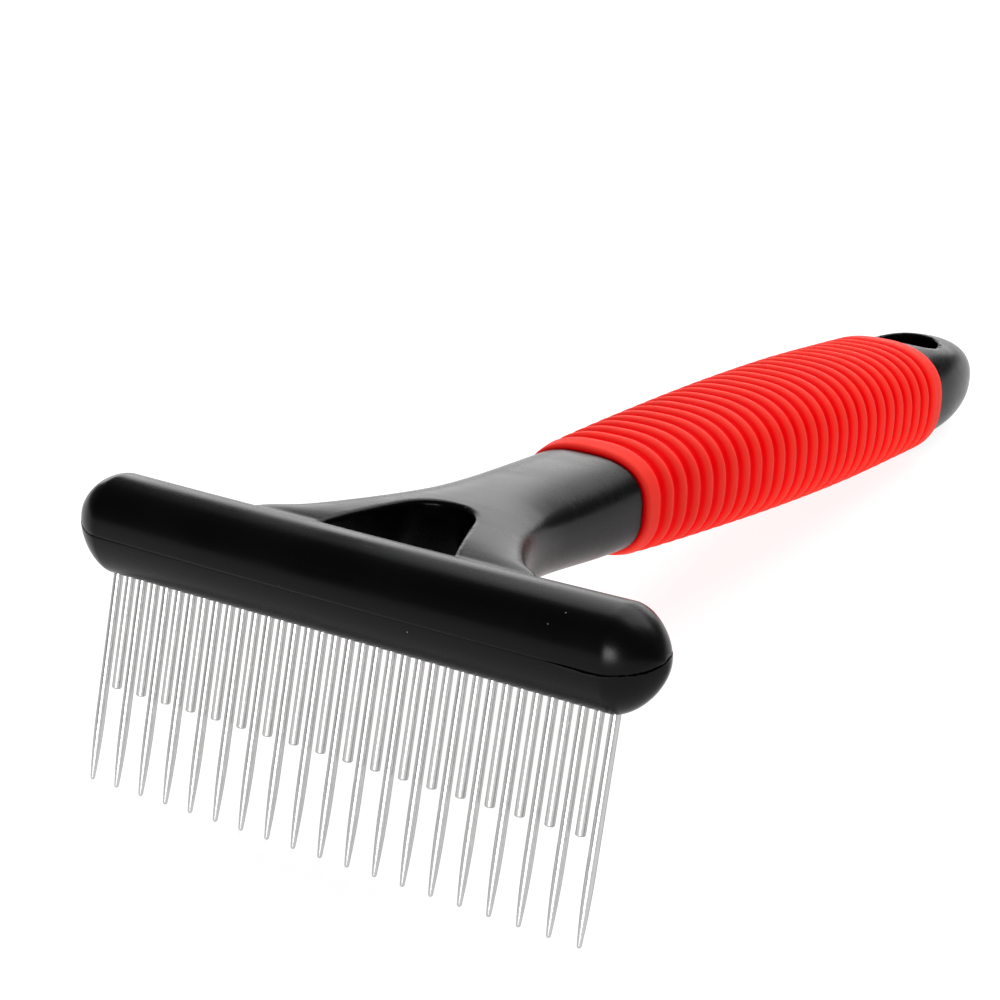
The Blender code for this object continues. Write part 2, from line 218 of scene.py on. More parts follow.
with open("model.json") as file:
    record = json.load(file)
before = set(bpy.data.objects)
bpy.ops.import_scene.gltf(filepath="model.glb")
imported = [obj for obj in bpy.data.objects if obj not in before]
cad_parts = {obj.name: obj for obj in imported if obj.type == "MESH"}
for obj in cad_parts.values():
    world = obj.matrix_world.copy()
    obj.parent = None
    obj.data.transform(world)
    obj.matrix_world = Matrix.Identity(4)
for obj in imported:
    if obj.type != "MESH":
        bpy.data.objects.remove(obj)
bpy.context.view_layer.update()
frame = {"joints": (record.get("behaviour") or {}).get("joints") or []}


# ---------------------------------------------------------------- frames


def tool_matrix():
    """From the tool's own frame, in metres, to the row frame, from the first and last pin's joints."""
    joints = {joint["name"]: joint for joint in frame["joints"]}
    first = joints["long_pin_01_spin"]
    last = joints[f"long_pin_{LONG_PINS:02d}_spin"]
    root = (Vector(first["pos_m"]) + Vector(last["pos_m"])) / 2
    up = -Vector(first["axis"]).normalized()
    across = Vector((1.0, 0.0, 0.0))
    back = up.cross(across)
    matrix = Matrix((across, back, up)).transposed().to_4x4()
    matrix.translation = root
    return matrix


TOOL = tool_matrix()


def to_tool(points):
    """Handle coordinates (X, S, U) to the tool's frame, in millimetres."""
    x, s, u = np.moveaxis(np.asarray(points, float), -1, 0)
    y = s * math.cos(HANDLE_TILT) - u * math.sin(HANDLE_TILT)
    z = HANDLE_AXIS_Z + s * math.sin(HANDLE_TILT) + u * math.cos(HANDLE_TILT)
    return np.stack([x, y, z], -1)


def to_row(points):
    """The tool's frame, in millimetres, to the row frame, in metres."""
    turn = np.array(TOOL.to_3x3())
    return np.asarray(points) * MM @ turn.T + np.array(TOOL.translation)


def smooth_profile(points):
    """Closely spaced values along a smooth curve through (S, value) points."""
    places = [s for s, _ in points]
    dense = np.arange(places[0], places[-1] + 0.01, PROFILE_STEP)
    values = np.zeros(len(dense))
    last = len(points) - 2
    for i, s in enumerate(dense):
        k = min(max(int(np.searchsorted(places, s, side="right")) - 1, 0), last)
        (s0, v0), (s1, v1) = points[k], points[k + 1]
        span = s1 - s0
        slope0 = slope1 = (v1 - v0) / span
        if k > 0:
            slope0 = (v1 - points[k - 1][1]) / (s1 - points[k - 1][0])
        if k < last:
            slope1 = (points[k + 2][1] - v0) / (points[k + 2][0] - s0)
        t = min(max((s - s0) / span, 0.0), 1.0)
        blend = t * t * (3 - 2 * t)
        bow = span * t * (1 - t) * (slope0 * (1 - t) - slope1 * t)
        values[i] = v0 * (1 - blend) + v1 * blend + bow
    return dense, values


NECK_WIDTHS = smooth_profile(NECK_HALF_WIDTH)
NECK_POWERS = smooth_profile(NECK_POWER)
NECK_TOPS = smooth_profile(NECK_TOP)
NECK_BOTTOMS = smooth_profile(NECK_BOTTOM)
GRIP_WIDTHS = smooth_profile(GRIP_HALF_WIDTH)
GRIP_HEIGHTS = smooth_profile(GRIP_HALF_HEIGHT)


# ---------------------------------------------------------------- fields


def distance_to(ratio, points):
    """Nearly the distance to the surface where the ratio is one, negative inside."""
    base = ratio(points)
    squares = 0.0
    for axis in range(3):
        moved = points.copy()
        moved[..., axis] += RATIO_STEP
        squares = squares + ((ratio(moved) - base) / RATIO_STEP) ** 2
    return (base - 1) / np.maximum(np.sqrt(squares), LEAST_RATIO_SLOPE)


def bar_ratio(points):
    """One on the head bar's surface, in the tool's frame."""
    x, y, z = np.moveaxis(points, -1, 0)
    rise = BAR_END_RISE * (x / BAR_HALF_LENGTH) ** 2
    height = (z - BAR_AXIS_Z - rise) / BAR_HALF_HEIGHT
    depth = (y - BAR_AXIS_Y) / BAR_HALF_DEPTH
    around = np.hypot(depth, height)
    for _ in range(2):
        egg = 1 + BAR_EGG * height / np.maximum(around, TINY)
        around = np.hypot(depth / egg, height)
    along = np.maximum((np.abs(x) - BAR_HALF_LENGTH + BAR_END_LENGTH) / BAR_END_LENGTH, 0.0)
    return (along**BAR_END_POWER + around**BAR_END_POWER) ** (1 / BAR_END_POWER)


def parting_height(points):
    """Height above the parting line between the upper shell and the lower cover."""
    y, z = points[..., 1], points[..., 2]
    bend_y, bend_z = PARTING_BEND
    heights = []
    for slope in (PARTING_FRONT_SLOPE, PARTING_BACK_SLOPE):
        heights.append((z - bend_z) * math.cos(slope) - (y - bend_y) * math.sin(slope))
    return np.maximum(*heights)


def neck_ratio(points):
    """One on the surface of the forked neck, without its opening, in handle coordinates."""
    x, s, u = np.moveaxis(points, -1, 0)
    half_width = np.interp(s, *NECK_WIDTHS)
    top = np.interp(s, *NECK_TOPS)
    bottom = np.interp(s, *NECK_BOTTOMS)
    side = np.abs(x) / half_width
    rise = np.abs(u - (top + bottom) / 2) * 2 / (top - bottom)
    power = np.interp(s, *NECK_POWERS)
    return (side**power + rise**power) ** (1 / power)


def tail_ratio(points):
    """One on the surface of the handle's round end, without its hole, in handle coordinates."""
    x, s, u = np.moveaxis(points, -1, 0)
    middle = (TAIL_TOP + TAIL_BOTTOM) / 2 + TAIL_RISE * (s - TAIL_START) / (TAIL_END - TAIL_START)
    side = np.abs(x) / TAIL_HALF_WIDTH
    rise = np.abs(u - middle) * 2 / (TAIL_TOP - TAIL_BOTTOM)
    around = (side**TAIL_POWER + rise**TAIL_POWER) ** (1 / TAIL_POWER)
    along = np.maximum((s - TAIL_ROUND_START) / (TAIL_END - TAIL_ROUND_START), 0.0)
    return np.hypot(around, along)


def join(first, second, radius):
    """The union of two distances, with a fillet of that radius."""
    gap = np.hypot(np.maximum(radius - first, 0.0), np.maximum(radius - second, 0.0))
    return np.maximum(radius, np.minimum(first, second)) - gap


def cut(first, second, radius):
    """What is inside both distances, with its edge rounded to that radius."""
    gap = np.hypot(np.maximum(radius + first, 0.0), np.maximum(radius + second, 0.0))
    return np.minimum(-radius, np.maximum(first, second)) + gap


def opening_distance(points):
    """Distance to the fork's opening, negative inside it: straight sides and a rounded point."""
    x, s = points[..., 0], points[..., 1] - OPENING_CORNER_S
    round_end = np.hypot(x, s)
    side = np.abs(x) * math.cos(OPENING_LEAN) + s * math.sin(OPENING_LEAN)
    return np.where(s > np.abs(x) * math.tan(OPENING_LEAN), round_end, side) - OPENING_CORNER_RADIUS


def moulding_distance(points):
    """The black moulding: the upper head shell, fork, neck, tang and tail, in handle coordinates."""
    x, s, u = np.moveaxis(points, -1, 0)
    tool_points = to_tool(points)
    bar = distance_to(bar_ratio, tool_points)
    under = np.clip(-parting_height(tool_points) / SHELL_STEP, 0.0, 1.0)
    bar = bar + SHELL_STEP * under * under * (3 - 2 * under)
    neck = cut(distance_to(neck_ratio, points), s - NECK_END, SLEEVE_SEAT_RIM)
    neck = np.maximum(neck, NECK_START - s)
    neck = cut(neck, -opening_distance(points), OPENING_RIM)
    tang = np.hypot(x / TANG_HALF_WIDTH, u / TANG_HALF_HEIGHT) * TANG_HALF_HEIGHT - TANG_HALF_HEIGHT
    tang_middle = (NECK_END + TAIL_START) / 2
    tang_reach = (TAIL_START - NECK_END) / 2 + TANG_OVERLAP
    tang = np.maximum(tang, np.abs(s - tang_middle) - tang_reach)
    tail = cut(distance_to(tail_ratio, points), TAIL_START - s, SLEEVE_SEAT_RIM)
    hole = np.hypot(x, s - HANGING_HOLE_S) - HANGING_HOLE_RADIUS
    tail = cut(tail, -hole, HANGING_HOLE_RIM)
    return np.minimum(join(bar, neck, NECK_FILLET), np.minimum(tang, tail))


# ---------------------------------------------------------------- surface net


def field_values(distance, axes):
    """The distance at every grid point, one slab at a time."""
    slabs = []
    for start in range(0, len(axes[1]), GRID_SLAB):
        grid = np.meshgrid(axes[0], axes[1][start:start + GRID_SLAB], axes[2], indexing="ij")
        slabs.append(distance(np.stack(grid, -1)).astype(np.float32))
    return np.concatenate(slabs, axis=1)


def crossing_points(values, cells):
    """For each cell that the surface crosses, the mean of the places where it crosses the edges."""
    total = np.zeros((len(cells), 3))
    count = np.zeros(len(cells))
    corners = [np.array((i, j, k)) for i in (0, 1) for j in (0, 1) for k in (0, 1)]
    for a in corners:
        for axis in range(3):
            if a[axis]:
                continue
            b = a.copy()
            b[axis] = 1
            value_a = values[tuple((cells + a).T)]
            value_b = values[tuple((cells + b).T)]
            crossed = (value_a < 0) != (value_b < 0)
            share = value_a[crossed] / (value_a[crossed] - value_b[crossed])
            place = np.tile(a.astype(float), (len(share), 1))
            place[:, axis] += share
            total[crossed] += place
            count[crossed] += 1
    return cells + total / count[:, None]


def surface_net(distance):
    """Vertices and quads where the distance is zero, from a regular grid."""
    axes = [np.arange(low, high + CELL, CELL) for low, high in zip(GRID_LOW, GRID_HIGH)]
    values = field_values(distance, axes)
    inside = values < 0
    shape = np.array(values.shape) - 1
    filled = np.zeros(shape, int)
    for i in (0, 1):
        for j in (0, 1):
            for k in (0, 1):
                filled += inside[i:i + shape[0], j:j + shape[1], k:k + shape[2]]
    crossed = (filled > 0) & (filled < 8)
    cells = np.argwhere(crossed)
    index = np.full(tuple(shape), -1)
    index[crossed] = np.arange(len(cells))
    vertices = np.array(GRID_LOW) + crossing_points(values, cells) * CELL
    quads = []
    for axis in range(3):
        step = np.eye(3, dtype=int)[axis]
        side_a = np.eye(3, dtype=int)[(axis + 1) % 3]
        side_b = np.eye(3, dtype=int)[(axis + 2) % 3]
        near = tuple(slice(0, n - d) for n, d in zip(values.shape, step))
        far = tuple(slice(d, n) for n, d in zip(values.shape, step))
        start = np.argwhere(inside[near] != inside[far])
        around = [start, start - side_a, start - side_a - side_b, start - side_b]
        quad = np.stack([index[tuple(c.T)] for c in around], 1)
        outward = inside[tuple(start.T)]
        quads.append(np.where(outward[:, None], quad, quad[:, ::-1]))
    return vertices, np.concatenate(quads)


def gradient(distance, vertices):
    """The distance's slope along each axis."""
    slopes = []
    for axis in range(3):
        move = np.zeros(3)
        move[axis] = SLOPE_STEP
        slopes.append((distance(vertices + move) - distance(vertices - move)) / (2 * SLOPE_STEP))
    return np.stack(slopes, -1)


def settle(distance, vertices, quads):
    """Slides the vertices over the surface until the quads are even, and puts them exactly on it."""
    starts = quads.reshape(-1)
    ends = np.roll(quads, -1, axis=1).reshape(-1)
    count = len(vertices)
    degree = np.bincount(starts, minlength=count) + np.bincount(ends, minlength=count)
    for _ in range(SETTLE_ROUNDS):
        slope = gradient(distance, vertices)
        size = np.maximum((slope**2).sum(1, keepdims=True), LEAST_SLOPE_SQUARE)
        vertices = vertices - distance(vertices)[:, None] * slope / size
        mean = np.zeros_like(vertices)
        for axis in range(3):
            mean[:, axis] = np.bincount(starts, vertices[ends, axis], count)
            mean[:, axis] += np.bincount(ends, vertices[starts, axis], count)
        move = mean / degree[:, None] - vertices
        normal = slope / np.sqrt(size)
        along = move - (move * normal).sum(1, keepdims=True) * normal
        vertices = vertices + SETTLE_SHARE * along
    slope = gradient(distance, vertices)
    size = np.maximum((slope**2).sum(1, keepdims=True), LEAST_SLOPE_SQUARE)
    return vertices - distance(vertices)[:, None] * slope / size


# ---------------------------------------------------------------- pieces


def add_piece(name, mesh, material, body, nodes, matrix=None):
    """A finished piece, which rides on a body and stands for its CAD nodes."""
    obj = bpy.data.objects.new(name, mesh)
    bpy.context.scene.collection.objects.link(obj)
    if matrix is not None:
        obj.matrix_world = matrix
    if not mesh.materials:
        mesh.materials.append(material)
    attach(obj, body)
    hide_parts(*nodes)


def mesh_of(name, vertices, faces):
    """A smooth mesh from a list of points in metres and a list of faces."""
    mesh = bpy.data.meshes.new(name)
    mesh.from_pydata(vertices, [], faces)
    mesh.update()
    mesh.shade_smooth()
    return mesh


def add_moulding(material):
    """The black moulding, as one closed surface."""
    vertices, quads = surface_net(moulding_distance)
    vertices = settle(moulding_distance, vertices, quads)
    mesh = mesh_of("handle_moulding", to_row(to_tool(vertices)).tolist(), quads.tolist())
    mesh.set_sharp_from_angle(angle=MOULDING_SHARP_EDGE)
    add_piece("handle_moulding", mesh, material, "tool_body", ["handle_frame"])


def bar_shell(inset, sides, rings):
    """The head bar's form, made smaller by the inset, as a bmesh in the tool's frame."""
    bm = bmesh.new()
    bmesh.ops.create_uvsphere(bm, u_segments=sides, v_segments=rings, radius=1.0)
    bmesh.ops.rotate(bm, verts=bm.verts, matrix=Matrix.Rotation(math.pi / 2, 3, "Y"))
    end_start = BAR_HALF_LENGTH - BAR_END_LENGTH
    for vert in bm.verts:
        along = min(abs(vert.co.x), 1.0)
        around = math.hypot(vert.co.y, vert.co.z)
        swell = around ** (2 / BAR_END_POWER - 1) if around > TINY else 0.0
        egg = 1 + BAR_EGG * vert.co.z / max(around, TINY)
        reach = end_start + (BAR_END_LENGTH - inset) * along ** (2 / BAR_END_POWER)
        rise = BAR_END_RISE * (reach / BAR_HALF_LENGTH) ** 2
        vert.co.x = math.copysign(reach, vert.co.x)
        vert.co.y = BAR_AXIS_Y + vert.co.y * (BAR_HALF_DEPTH - inset) * swell * egg
        vert.co.z = BAR_AXIS_Z + vert.co.z * (BAR_HALF_HEIGHT - inset) * swell + rise
    long_edges = [edge for edge in bm.edges if abs(edge.verts[0].co.x - edge.verts[1].co.x) > end_start]
    cuts = int(end_start / BAR_FACET_LENGTH)
    bmesh.ops.subdivide_edges(bm, edges=long_edges, cuts=cuts, use_grid_fill=True)
    return bm


def trim(bm, point, normal, keep=False):
    """Cuts along a plane and closes the cut, or only marks the plane if all is kept."""
    geometry = [*bm.verts, *bm.edges, *bm.faces]
    result = bmesh.ops.bisect_plane(
        bm, geom=geometry, dist=WELD, plane_co=point, plane_no=normal, clear_outer=not keep
    )
    if not keep:
        edges = [item for item in result["geom_cut"] if isinstance(item, bmesh.types.BMEdge)]
        bmesh.ops.contextual_create(bm, geom=edges)


def cover_form():
    """The part of the bar's form that lies under the parting line."""
    bm = bar_shell(0.0, COVER_SIDES, COVER_RINGS)
    bend = Vector((0.0, *PARTING_BEND))
    for slope in (PARTING_FRONT_SLOPE, PARTING_BACK_SLOPE):
        normal = Vector((0.0, -math.sin(slope), math.cos(slope)))
        for depth in (EDGE_ROUND, EDGE_ROUND / 2, EDGE_ROUND / 4):
            trim(bm, bend - normal * depth, normal, keep=True)
        trim(bm, bend, normal)
    return bm


def climb(x, start, run):
    """Zero up to the start, then rising evenly to one at the end of the run."""
    return min(max((x - start) / run, 0.0), 1.0)


def rough_edge(x):
    """How far the cover's edge falls short of the shell: a fine line that opens at the right end."""
    slow, fast = CHIP_RATES
    chips = abs(math.sin(slow * x) * math.sin(fast * x + CHIP_SHIFT)) * climb(x, CHIP_START, CHIP_RUN)
    return END_GAP * climb(x, END_GAP_START, END_GAP_RUN) + CHIP_DEPTH * chips


def round_cover_edge(bm):
    """Rounds the cover's upper edge and gives it the small faults of a pressed-on part."""
    for vert in bm.verts:
        x = vert.co.x
        below = -float(parting_height(np.array(vert.co)))
        if below >= EDGE_ROUND + EDGE_MARGIN:
            continue
        vert.co.z -= rough_edge(x) * (1 - below / (EDGE_ROUND + EDGE_MARGIN))
        flash = climb(x, FLASH_START, FLASH_START_RUN) * climb(-x, -FLASH_END, FLASH_END_RUN)
        inward = (1 - max(below, 0.0) / EDGE_ROUND) ** 2 * (EDGE_TUCK - FLASH_WIDTH * flash)
        centre = Vector((x * (1 - END_TUCK * inward), BAR_AXIS_Y, BAR_AXIS_Z))
        direction = centre - vert.co
        if direction.length > NEAR_AXIS:
            vert.co += direction.normalized() * inward


def spread_cover(bm):
    """Lets the cover stand a little proud of the shell."""
    for vert in bm.verts:
        outward = Vector((0.0, vert.co.y - BAR_AXIS_Y, vert.co.z - BAR_AXIS_Z))
        if outward.length > NEAR_AXIS:
            vert.co += outward.normalized() * COVER_PROUD


def add_cylinder(bm, x, radius, low, high):
    """An upright cylinder on the pin row, at that X and between those heights."""
    matrix = Matrix.Translation((x, 0.0, (low + high) / 2))
    bmesh.ops.create_cone(
        bm, cap_ends=True, segments=HOLE_SIDES, radius1=radius, radius2=radius,
        depth=high - low, matrix=matrix,
    )


def pin_places():
    """X of each long pin, then of each short pin."""
    first = -PIN_PITCH * (LONG_PINS - 1)
    long_places = [first + 2 * PIN_PITCH * k for k in range(LONG_PINS)]
    short_places = [first + PIN_PITCH + 2 * PIN_PITCH * k for k in range(LONG_PINS - 1)]
    return long_places, short_places


def hole_cutter():
    """One cylinder for each pin hole in the cover's floor."""
    bm = bmesh.new()
    long_places, short_places = pin_places()
    floor = BAR_AXIS_Z - BAR_HALF_HEIGHT
    for x in (*long_places, *short_places):
        add_cylinder(bm, x, HOLE_RADIUS, floor + HOLE_START, floor + HOLE_END)
    return bm


def as_object(name, bm):
    """A scene object from a bmesh, which is used up."""
    bmesh.ops.recalc_face_normals(bm, faces=bm.faces)
    mesh = bpy.data.meshes.new(name)
    bm.to_mesh(mesh)
    bm.free()
    obj = bpy.data.objects.new(name, mesh)
    bpy.context.scene.collection.objects.link(obj)
    return obj


def subtract(obj, cutter):
    """Cuts the cutter out of the object and removes the cutter."""
    modifier = obj.modifiers.new("cut", "BOOLEAN")
    modifier.operation = "DIFFERENCE"
    modifier.solver = "EXACT"
    modifier.object = cutter
    graph = bpy.context.evaluated_depsgraph_get()
    mesh = bpy.data.meshes.new_from_object(obj.evaluated_get(graph))
    obj.modifiers.clear()
    obj.data = mesh
    bpy.data.objects.remove(cutter)


def add_cover(material):
    """The lower cover: the bar's form under the parting line, hollowed, with the pin holes."""
    form = cover_form()
    round_cover_edge(form)
    spread_cover(form)
    cover = as_object("cover_form", form)
    inside = bar_shell(COVER_WALL, COVER_INSIDE_SIDES, COVER_INSIDE_RINGS)
    subtract(cover, as_object("cover_inside", inside))
    subtract(cover, as_object("cover_holes", hole_cutter()))
    mesh = cover.data.copy()
    bpy.data.objects.remove(cover)
    places = np.array([vert.co for vert in mesh.vertices])
    mesh.vertices.foreach_set("co", to_row(places).ravel())
    mesh.update()
    mesh.shade_smooth()
    mesh.set_sharp_from_angle(angle=COVER_SHARP_EDGE)
    add_piece("lower_cover", mesh, material, "tool_body", ["head_lower_cover"])


def rib_depth(s):
    """Depth below the crest at each station: rounded crests with narrower rounded grooves."""
    if not FIRST_CREST_S < s < FIRST_CREST_S + RIB_PITCH * RIBS:
        return 0.0
    phase = ((s - FIRST_CREST_S) / RIB_PITCH) % 1.0
    from_groove = min(abs(phase - 0.5) / (GROOVE_SHARE / 2), 1.0)
    return GROOVE_DEPTH * (0.5 + 0.5 * math.cos(math.pi * from_groove))


def grip_ring(s, inset):
    """The points round the sleeve at one station, made smaller by the inset."""
    half_width = np.interp(s, *GRIP_WIDTHS) - inset
    half_height = np.interp(s, *GRIP_HEIGHTS) - inset
    angle = 2 * np.pi * np.arange(GRIP_SIDES) / GRIP_SIDES
    cosine, sine = np.cos(angle), np.sin(angle)
    x = half_width * np.sign(cosine) * np.abs(cosine) ** (2 / GRIP_POWER)
    u = half_height * np.sign(sine) * np.abs(sine) ** (2 / GRIP_POWER)
    return to_tool(np.stack([x, np.full(GRIP_SIDES, s), u], -1))


def grip_stations():
    """(station, inset) along the sleeve: outside, round the ends and back through the bore."""
    stations = []
    lip = np.linspace(0.0, np.pi / 2, LIP_STEPS)
    for angle in lip[:-1]:
        inset = FRONT_LIP * (1 - math.sin(angle))
        stations.append((GRIP_START + FRONT_LIP * (1 - math.cos(angle)), inset))
    start, end = GRIP_START + FRONT_LIP, GRIP_END - REAR_LIP_LENGTH
    stations += [(s, rib_depth(s)) for s in np.arange(start, end, RIB_PITCH / RIB_STEPS)]
    for angle in lip[::-1]:
        inset = REAR_LIP * (1 - math.sin(angle))
        stations.append((GRIP_END - REAR_LIP_LENGTH * (1 - math.cos(angle)), inset))
    stations += [(s, GRIP_WALL) for s in np.linspace(GRIP_END, GRIP_START, BORE_STEPS)]
    return stations


def ring_faces(count):
    """Quads between neighbouring rings, with the last ring joined to the first."""
    ring, side = np.meshgrid(np.arange(count), np.arange(GRIP_SIDES), indexing="ij")
    next_ring, next_side = (ring + 1) % count, (side + 1) % GRIP_SIDES
    corners = [(ring, side), (ring, next_side), (next_ring, next_side), (next_ring, side)]
    return np.stack([a * GRIP_SIDES + b for a, b in corners], -1).reshape(-1, 4)


def add_grip(material):
    """The ribbed sleeve, as one closed surface that knows how near each point is to a crest, which the
    rubber uses for its painted sheen.
    """
    stations = grip_stations()
    rings = to_row(np.concatenate([grip_ring(s, inset) for s, inset in stations]))
    mesh = mesh_of("ribbed_grip", rings.tolist(), ring_faces(len(stations)).tolist())
    # Crest height, which the rubber uses to paint a sheen on the rib crests
    crest = mesh.attributes.new("crest", "FLOAT", "POINT")
    heights = [1 - min(inset / GROOVE_DEPTH, 1.0) for _, inset in stations]
    crest.data.foreach_set("value", np.repeat(heights, GRIP_SIDES).astype(np.float32))
    mesh.set_sharp_from_angle(angle=GRIP_SHARP_EDGE)
    add_piece("ribbed_grip", mesh, material, "tool_body", ["grip_sleeve"])


def long_outline():
    """(radius, Z) down the long pin: a straight shank, a smooth taper and a small round point."""
    outline = [(0.0, PIN_TOP_Z), (PIN_RADIUS, PIN_TOP_Z), (PIN_RADIUS, -LONG_REACH + LONG_TAPER)]
    for k in range(1, TAPER_STEPS + 1):
        t = k / TAPER_STEPS
        radius = PIN_RADIUS + (LONG_TIP_RADIUS - PIN_RADIUS) * t**2
        left = (LONG_TAPER - LONG_TIP_RADIUS) * (1 - t)
        outline.append((radius, -LONG_REACH + LONG_TIP_RADIUS + left))
    for k in range(1, TIP_STEPS):
        angle = math.pi / 2 * k / TIP_STEPS
        drop = LONG_TIP_RADIUS * (1 - math.sin(angle))
        outline.append((LONG_TIP_RADIUS * math.cos(angle), -LONG_REACH + drop))
    outline.append((0.0, -LONG_REACH))
    return outline


def short_outline():
    """(radius, Z) down the short pin: a straight shank with a rounded edge at its flat end."""
    outline = [(0.0, PIN_TOP_Z), (PIN_RADIUS, PIN_TOP_Z)]
    for k in range(BEVEL_STEPS + 1):
        angle = math.pi / 2 * k / BEVEL_STEPS
        radius = PIN_RADIUS - SHORT_TIP_BEVEL * (1 - math.cos(angle))
        outline.append((radius, -SHORT_REACH + SHORT_TIP_BEVEL * (1 - math.sin(angle))))
    outline.append((0.0, -SHORT_REACH))
    return outline


def turned_mesh(name, outline):
    """A turned solid about Z from its (radius, Z) outline, in metres."""
    vertices = []
    rows = []
    for radius, z in outline:
        if radius == 0.0:
            rows.append([len(vertices)] * PIN_SIDES)
            vertices.append((0.0, 0.0, z * MM))
            continue
        rows.append(list(range(len(vertices), len(vertices) + PIN_SIDES)))
        for k in range(PIN_SIDES):
            angle = 2 * math.pi * k / PIN_SIDES
            vertices.append((radius * MM * math.cos(angle), radius * MM * math.sin(angle), z * MM))
    faces = []
    for upper, lower in zip(rows, rows[1:]):
        for k in range(PIN_SIDES):
            after = (k + 1) % PIN_SIDES
            corners = dict.fromkeys((upper[k], lower[k], lower[after], upper[after]))
            faces.append(list(corners))
    mesh = mesh_of(name, vertices, faces)
    mesh.set_sharp_from_angle(angle=PIN_SHARP_EDGE)
    return mesh


def add_pins(material):
    """Every pin, each on its own body, from one mesh for each kind."""
    long_places, short_places = pin_places()
    kinds = (("long_pin", long_outline(), long_places), ("short_pin", short_outline(), short_places))
    for kind, outline, places in kinds:
        mesh = turned_mesh(f"{kind}_turned", outline)
        for number, x in enumerate(places, start=1):
            node = f"{kind}_{number:02d}"
            matrix = TOOL @ Matrix.Translation((x * MM, 0.0, 0.0))
            add_piece(f"{node}_turned", mesh, material, node, [node], matrix)


# ---------------------------------------------------------------- materials


class Nodes:
    """A material's node tree, with short calls for the nodes used here."""

    def __init__(self, name):
        self.material = bpy.data.materials.new(name)
        self.material.use_nodes = True
        self.tree = self.material.node_tree
        self.shader = self.tree.nodes["Principled BSDF"]
        self.place = self.tree.nodes.new("ShaderNodeTexCoord").outputs["Object"]

    def link(self, output, socket):
        self.tree.links.new(output, socket)

    def set(self, **values):
        """Sets the shader's own values, by name with underscores for spaces."""
        for name, value in values.items():
            self.shader.inputs[name.replace("_", " ")].default_value = value

    def attribute(self, name):
        node = self.tree.nodes.new("ShaderNodeAttribute")
        node.attribute_name = name
        return node.outputs["Fac"]

    def stretched(self, scale):
        node = self.tree.nodes.new("ShaderNodeMapping")
        node.inputs["Scale"].default_value = scale
        self.link(self.place, node.inputs["Vector"])
        return node.outputs["Vector"]

    def noise(self, size, detail, scale=(1.0, 1.0, 1.0), roughness=0.5):
        """Noise with features of about that size in metres, drawn out where the scale is small."""
        node = self.tree.nodes.new("ShaderNodeTexNoise")
        node.inputs["Scale"].default_value = 1.0 / size
        node.inputs["Detail"].default_value = detail
        node.inputs["Roughness"].default_value = roughness
        self.link(self.stretched(scale), node.inputs["Vector"])
        return node.outputs["Fac"]

    def ramp(self, value, source, target=(0.0, 1.0)):
        """The value taken from the source range to the target range, and held at its ends."""
        node = self.tree.nodes.new("ShaderNodeMapRange")
        node.inputs["From Min"].default_value = source[0]
        node.inputs["From Max"].default_value = source[1]
        node.inputs["To Min"].default_value = target[0]
        node.inputs["To Max"].default_value = target[1]
        self.link(value, node.inputs["Value"])
        return node.outputs["Result"]

    def math(self, operation, first, second):
        node = self.tree.nodes.new("ShaderNodeMath")
        node.operation = operation
        self.link(first, node.inputs[0])
        self.link(second, node.inputs[1])
        return node.outputs["Value"]

    def mix(self, factor, first, second):
        """A blend of two colours, each either a fixed colour or another node's output."""
        node = self.tree.nodes.new("ShaderNodeMix")
        node.data_type = "RGBA"
        self.link(factor, node.inputs[0])
        for socket, value in ((node.inputs[6], first), (node.inputs[7], second)):
            if isinstance(value, tuple):
                socket.default_value = (*value, 1.0)
            else:
                self.link(value, socket)
        return node.outputs[2]

    def specks(self, size, radius):
        """One small round speck in some of the cells of that size."""
        node = self.tree.nodes.new("ShaderNodeTexVoronoi")
        node.inputs["Scale"].default_value = 1.0 / size
        self.link(self.place, node.inputs["Vector"])
        dot = self.ramp(node.outputs["Distance"], (radius * SPECK_CORE, radius), (1.0, 0.0))
        chosen = self.ramp(self.noise(size * SPECK_SPREAD, detail=1.0), SPECK_CHOICE)
        return self.math("MULTIPLY", dot, chosen)

    def bump(self, height, distance, strength):
        node = self.tree.nodes.new("ShaderNodeBump")
        node.inputs["Distance"].default_value = distance
        node.inputs["Strength"].default_value = strength
        self.link(height, node.inputs["Height"])
        self.link(node.outputs["Normal"], self.shader.inputs["Normal"])


def black_plastic():
    """Moulded black plastic: satin, with faint flow marks, slight wear and specks of dust."""
    nodes = Nodes("black_plastic")
    nodes.set(Specular_IOR_Level=BLACK_SPECULAR)
    clouds = nodes.noise(size=0.012, detail=4.0)
    scratches = nodes.noise(size=0.0016, detail=4.0, scale=(0.06, 1.0, 1.0), roughness=0.65)
    fine = nodes.noise(size=0.00035, detail=2.0)
    dust = nodes.specks(size=0.0021, radius=0.045)
    tint = nodes.mix(clouds, *BLACK)
    nodes.link(nodes.mix(dust, tint, BLACK_DUST), nodes.shader.inputs["Base Color"])
    gloss = nodes.ramp(clouds, (0.3, 0.7), BLACK_ROUGHNESS)
    worn = nodes.ramp(scratches, (0.45, 0.75), BLACK_WEAR)
    nodes.link(nodes.math("ADD", gloss, worn), nodes.shader.inputs["Roughness"])
    nodes.bump(fine, distance=0.000006, strength=0.6)
    return nodes.material


